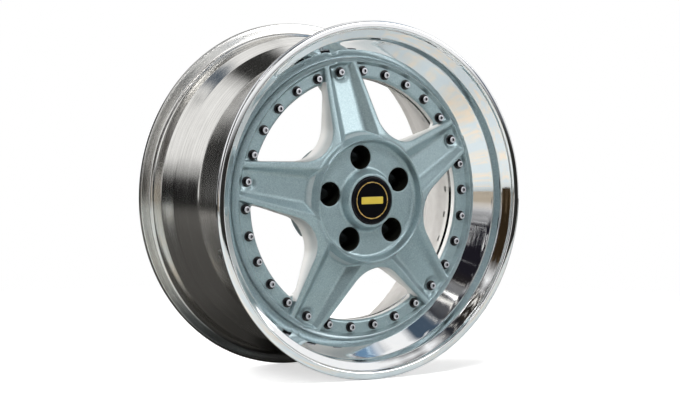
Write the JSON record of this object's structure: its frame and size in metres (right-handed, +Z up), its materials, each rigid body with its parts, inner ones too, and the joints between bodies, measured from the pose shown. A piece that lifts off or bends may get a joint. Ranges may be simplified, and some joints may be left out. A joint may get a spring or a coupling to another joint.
{
  "type": "alloy wheel",
  "caption": "Three-piece alloy road wheel: silver-blue spoked centre bolted inside a deep polished lip and a plain spun barrel, for a car hub.",
  "frame": {"origin": "middle of the rim on the wheel's axis, half way between the two flange edges", "axes": "+Y along the axle towards the car, -Y out through the wheel's face, +Z up"},
  "size_m": [0.4712, 0.2172, 0.4712],
  "materials": {
    "silver_paint": "silver-blue metallic paint, clear coated",
    "polished_alloy": "mirror polished",
    "spun_alloy": "bare spun metal with fine turning lines",
    "sealant": "matt silicone bead",
    "cap_black": "gloss black",
    "cap_gold": "thin gold coloured ring",
    "badge_black": "plain gloss black disc with no lettering",
    "spring_steel": "drawn wire",
    "valve_metal": "nickel plated",
    "valve_rubber": "matt black",
    "valve_cap_black": "matt black",
    "core_brass": "plain brass",
    "bolt_chrome": "bright chrome plate",
    "washer_black": "black oxide",
    "nut_steel": "zinc plated",
    "sleeve_black": "black oxide"
  },
  "bodies": {
    "root": {"wheel_centre": "silver_paint", "outer_rim_half": "polished_alloy", "inner_rim_half": "spun_alloy", "rim_seal": "sealant", "centre_cap": "cap_black", "cap_gold_ring": "cap_gold", "cap_badge_disc": "badge_black", "cap_spring_ring": "spring_steel", "valve_stem": "valve_metal", "valve_grommet": "valve_rubber", "valve_nut": "valve_metal", "valve_cap": "valve_cap_black", "valve_core": "core_brass", "assembly_bolts": "bolt_chrome", "bolt_washers": "washer_black", "assembly_nuts": "nut_steel", "nut_well_sleeves": "sleeve_black"}
  },
  "joints": []
}
